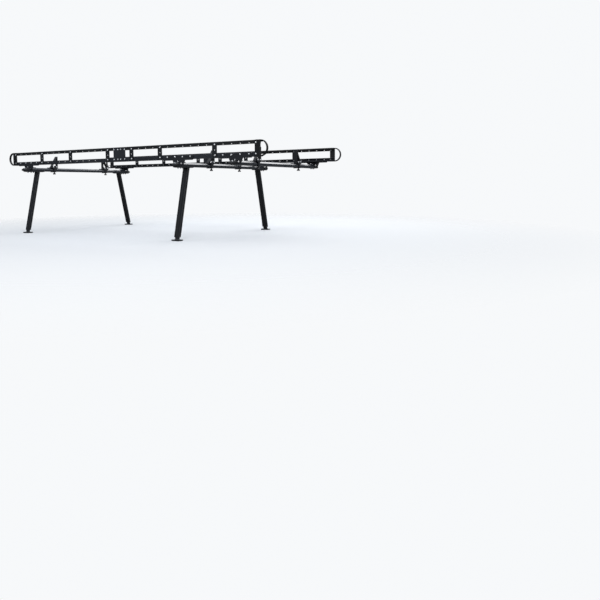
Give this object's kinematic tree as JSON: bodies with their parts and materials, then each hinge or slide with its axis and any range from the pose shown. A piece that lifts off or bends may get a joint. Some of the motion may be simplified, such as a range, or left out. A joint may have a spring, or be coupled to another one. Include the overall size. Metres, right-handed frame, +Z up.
{
  "type": "ladder rack",
  "caption": "Over-cab pickup ladder rack: bolted ladder-frame side rails with end loops, crossbars, leaning bed-rail legs and sliding clamp-on ladder stops.",
  "frame": {"origin": "on the centreline, midway along the side rails, at the underside of the foot pads", "axes": "+X forward in the direction of travel, +Y left, +Z up"},
  "size_m": [3.4516, 1.6, 0.892],
  "materials": {
    "rail_black": "satin black powder coat",
    "plate_black": "satin black powder coat",
    "strap_black": "semi-gloss black powder coat",
    "crossbar_black": "satin black anodised extrusion",
    "leg_black": "satin black powder coat with fine extrusion lines",
    "cast_black": "textured black powder coat on a casting",
    "black_plastic": "moulded black nylon",
    "pad_rubber": "black rubber sheet",
    "zinc": "bright zinc-plated steel"
  },
  "bodies": {
    "rack": {"upper_bar_right": "rail_black", "lower_bar_right": "rail_black", "end_posts_right": "rail_black", "window_posts_right": "plate_black", "end_loops_right": "strap_black", "upper_bar_left": "rail_black", "lower_bar_left": "rail_black", "end_posts_left": "rail_black", "window_posts_left": "plate_black", "end_loops_left": "strap_black", "splice_plates": "plate_black", "rear_crossbar": "crossbar_black", "rail_bracket_rear_right": "plate_black", "rail_bracket_rear_left": "plate_black", "middle_crossbar": "crossbar_black", "rail_bracket_middle_right": "plate_black", "rail_bracket_middle_left": "plate_black", "front_crossbar": "crossbar_black", "rail_bracket_front_right": "plate_black", "rail_bracket_front_left": "plate_black", "crossbar_end_caps": "black_plastic", "leg_rear_right": "leg_black", "leg_head_rear_right": "plate_black", "leg_foot_rear_right": "plate_black", "leg_rear_left": "leg_black", "leg_head_rear_left": "plate_black", "leg_foot_rear_left": "plate_black", "leg_middle_right": "leg_black", "leg_head_middle_right": "plate_black", "leg_foot_middle_right": "plate_black", "leg_middle_left": "leg_black", "leg_head_middle_left": "plate_black", "leg_foot_middle_left": "plate_black", "foot_pads": "pad_rubber", "rail_bolts": "zinc", "frame_bolts": "zinc"},
    "stop_rear_right": {"stop_frame_rear_right": "cast_black", "stop_hook_rear_right": "plate_black", "stop_bolts_rear_right": "zinc"},
    "knob_rear_right": {"stop_knob_rear_right": "black_plastic"},
    "stop_rear_left": {"stop_frame_rear_left": "cast_black", "stop_hook_rear_left": "plate_black", "stop_bolts_rear_left": "zinc"},
    "knob_rear_left": {"stop_knob_rear_left": "black_plastic"},
    "stop_middle_right": {"stop_frame_middle_right": "cast_black", "stop_hook_middle_right": "plate_black", "stop_bolts_middle_right": "zinc"},
    "knob_middle_right": {"stop_knob_middle_right": "black_plastic"},
    "stop_middle_left": {"stop_frame_middle_left": "cast_black", "stop_hook_middle_left": "plate_black", "stop_bolts_middle_left": "zinc"},
    "knob_middle_left": {"stop_knob_middle_left": "black_plastic"},
    "stop_front_right": {"stop_frame_front_right": "cast_black", "stop_hook_front_right": "plate_black", "stop_bolts_front_right": "zinc"},
    "knob_front_right": {"stop_knob_front_right": "black_plastic"},
    "stop_front_left": {"stop_frame_front_left": "cast_black", "stop_hook_front_left": "plate_black", "stop_bolts_front_left": "zinc"},
    "knob_front_left": {"stop_knob_front_left": "black_plastic"}
  },
  "joints": [
    {"name": "slide_rear_right", "type": "slide", "parent": "rack", "child": "stop_rear_right", "axis": [0, 1, 0], "range_m": [-0.089, 0.346]},
    {"name": "turn_rear_right", "type": "hinge", "parent": "stop_rear_right", "child": "knob_rear_right", "pos_m": [-1.37275, -0.406, 0.66], "axis": [0, 0, 1], "continuous": true},
    {"name": "slide_rear_left", "type": "slide", "parent": "rack", "child": "stop_rear_left", "axis": [0, 1, 0], "range_m": [-0.308, 0.127]},
    {"name": "turn_rear_left", "type": "hinge", "parent": "stop_rear_left", "child": "knob_rear_left", "pos_m": [-1.37275, 0.368, 0.66], "axis": [0, 0, 1], "continuous": true},
    {"name": "slide_middle_right", "type": "slide", "parent": "rack", "child": "stop_middle_right", "axis": [0, 1, 0], "range_m": [-0.23, 0.205]},
    {"name": "turn_middle_right", "type": "hinge", "parent": "stop_middle_right", "child": "knob_middle_right", "pos_m": [0.78425, -0.265, 0.66], "axis": [0, 0, 1], "continuous": true},
    {"name": "slide_middle_left", "type": "slide", "parent": "rack", "child": "stop_middle_left", "axis": [0, 1, 0], "range_m": [-0.16, 0.275]},
    {"name": "turn_middle_left", "type": "hinge", "parent": "stop_middle_left", "child": "knob_middle_left", "pos_m": [0.78425, 0.22, 0.66], "axis": [0, 0, 1], "continuous": true},
    {"name": "slide_front_right", "type": "slide", "parent": "rack", "child": "stop_front_right", "axis": [0, 1, 0], "range_m": [-0.174, 0.351]},
    {"name": "turn_front_right", "type": "hinge", "parent": "stop_front_right", "child": "knob_front_right", "pos_m": [1.42475, -0.411, 0.66], "axis": [0, 0, 1], "continuous": true},
    {"name": "slide_front_left", "type": "slide", "parent": "rack", "child": "stop_front_left", "axis": [0, 1, 0], "range_m": [-0.288, 0.237]},
    {"name": "turn_front_left", "type": "hinge", "parent": "stop_front_left", "child": "knob_front_left", "pos_m": [1.42475, 0.348, 0.66], "axis": [0, 0, 1], "continuous": true}
  ]
}
